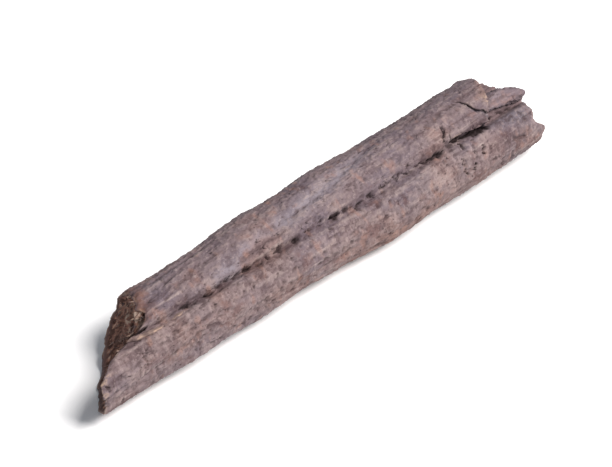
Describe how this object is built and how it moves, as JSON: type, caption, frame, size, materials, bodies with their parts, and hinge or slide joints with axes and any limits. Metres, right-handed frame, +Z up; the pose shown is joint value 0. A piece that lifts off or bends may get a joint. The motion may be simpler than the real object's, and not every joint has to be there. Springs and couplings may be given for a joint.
{
  "type": "burdock root",
  "caption": "Dried length of burdock root with its bark all round, furrowed lengthwise, cut on a slant at the near end and snapped at the far end; lies on its flattened side.",
  "frame": {"origin": "centre of the bounding box's bottom, on the surface that the root lies on", "axes": "+X along the root, from the slanted cut end to the snapped end; +Z up"},
  "size_m": [0.062, 0.011, 0.0097],
  "materials": {
    "root_bark": "dry matt bark, purple-brown, with brown broken ends"
  },
  "bodies": {
    "root": {"burdock_root": "root_bark"}
  },
  "joints": []
}
